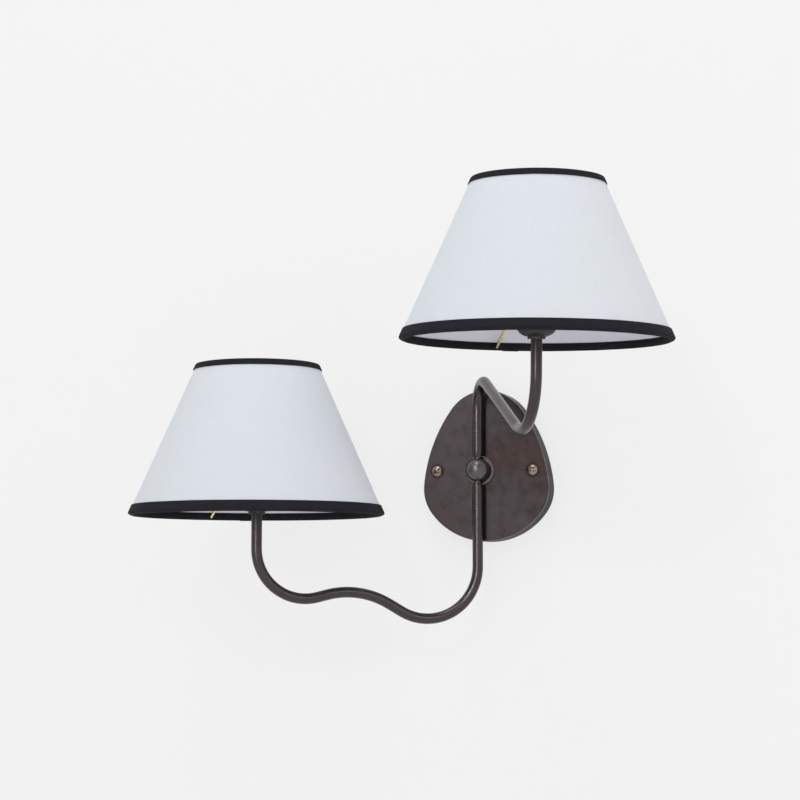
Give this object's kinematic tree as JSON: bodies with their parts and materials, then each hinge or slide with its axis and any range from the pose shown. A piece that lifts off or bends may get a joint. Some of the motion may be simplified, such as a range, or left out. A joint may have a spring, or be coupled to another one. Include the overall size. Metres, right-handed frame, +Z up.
{
  "type": "double arm wall sconce",
  "caption": "Wall light with an egg-shaped dark bronze plate and bent tube arms that swivel in a small ball, each carrying a white cloth cone shade edged in black tape.",
  "frame": {"origin": "on the wall plane, midway between the two screws that hold the wall plate, which is also the centre of the bracket's wall slots", "axes": "+Y points into the wall, so -Y points out into the room; +X runs along the wall to the right as seen from the room; +Z up"},
  "size_m": [0.4946, 0.3254, 0.3684],
  "materials": {
    "bronze": "dark bronze patina, satin",
    "zinc_steel": "zinc-plated steel",
    "worn_copper": "coppery metal with worn dark patina",
    "green_paint": "green-dyed screw",
    "brass": "bright brass",
    "black_washer": "matte black",
    "black_plastic": "moulded, matte black",
    "porcelain": "unglazed white",
    "lamp_metal": "bare aluminium",
    "frosted_glass": "white frosted",
    "white_cloth": "fine plain-woven white cloth",
    "liner": "stiff translucent white sheet",
    "black_tape": "black woven cloth tape"
  },
  "bodies": {
    "wall_mount": {"wall_plate": "bronze", "mounting_bracket": "zinc_steel", "canopy_screws": "worn_copper", "ground_screw": "green_paint", "hub_rosette": "bronze", "hub_ball": "bronze", "hub_nipple": "zinc_steel", "hub_lock_washer": "zinc_steel", "hub_locknut": "brass", "pivot_screws": "zinc_steel"},
    "lower_arm": {"lower_arm_tube": "bronze", "lower_pivot_spigot": "brass", "lower_seat_washer": "black_washer", "lower_holder_nipple": "zinc_steel", "lower_holder_cup": "bronze", "lower_holder_base": "black_plastic", "lower_holder_nut": "zinc_steel", "lower_holder_skirt": "black_plastic", "lower_holder_core": "porcelain", "lower_centre_contact": "brass", "lower_thread_shell": "brass", "lower_shade_ring": "black_plastic", "lower_lamp_cap": "lamp_metal", "lower_lamp_glass": "frosted_glass", "lower_shade_cloth": "white_cloth", "lower_shade_liner": "liner", "lower_bottom_wire_ring": "zinc_steel", "lower_top_wire_ring": "zinc_steel", "lower_shade_carrier": "brass", "lower_bottom_trim": "black_tape", "lower_top_trim": "black_tape"},
    "upper_arm": {"upper_arm_tube": "bronze", "upper_pivot_spigot": "brass", "upper_seat_washer": "black_washer", "upper_holder_nipple": "zinc_steel", "upper_holder_cup": "bronze", "upper_holder_base": "black_plastic", "upper_holder_nut": "zinc_steel", "upper_holder_skirt": "black_plastic", "upper_holder_core": "porcelain", "upper_centre_contact": "brass", "upper_thread_shell": "brass", "upper_shade_ring": "black_plastic", "upper_lamp_cap": "lamp_metal", "upper_lamp_glass": "frosted_glass", "upper_shade_cloth": "white_cloth", "upper_shade_liner": "liner", "upper_bottom_wire_ring": "zinc_steel", "upper_top_wire_ring": "zinc_steel", "upper_shade_carrier": "brass", "upper_bottom_trim": "black_tape", "upper_top_trim": "black_tape"}
  },
  "joints": [
    {"name": "lower_arm_swivel", "type": "hinge", "parent": "wall_mount", "child": "lower_arm", "pos_m": [-0.0042, -0.0325, 0], "axis": [0, 0, 1], "range_deg": [-4, 25]},
    {"name": "upper_arm_swivel", "type": "hinge", "parent": "wall_mount", "child": "upper_arm", "pos_m": [-0.0042, -0.0325, 0], "axis": [0, 0, 1], "range_deg": [-12, 37]}
  ]
}
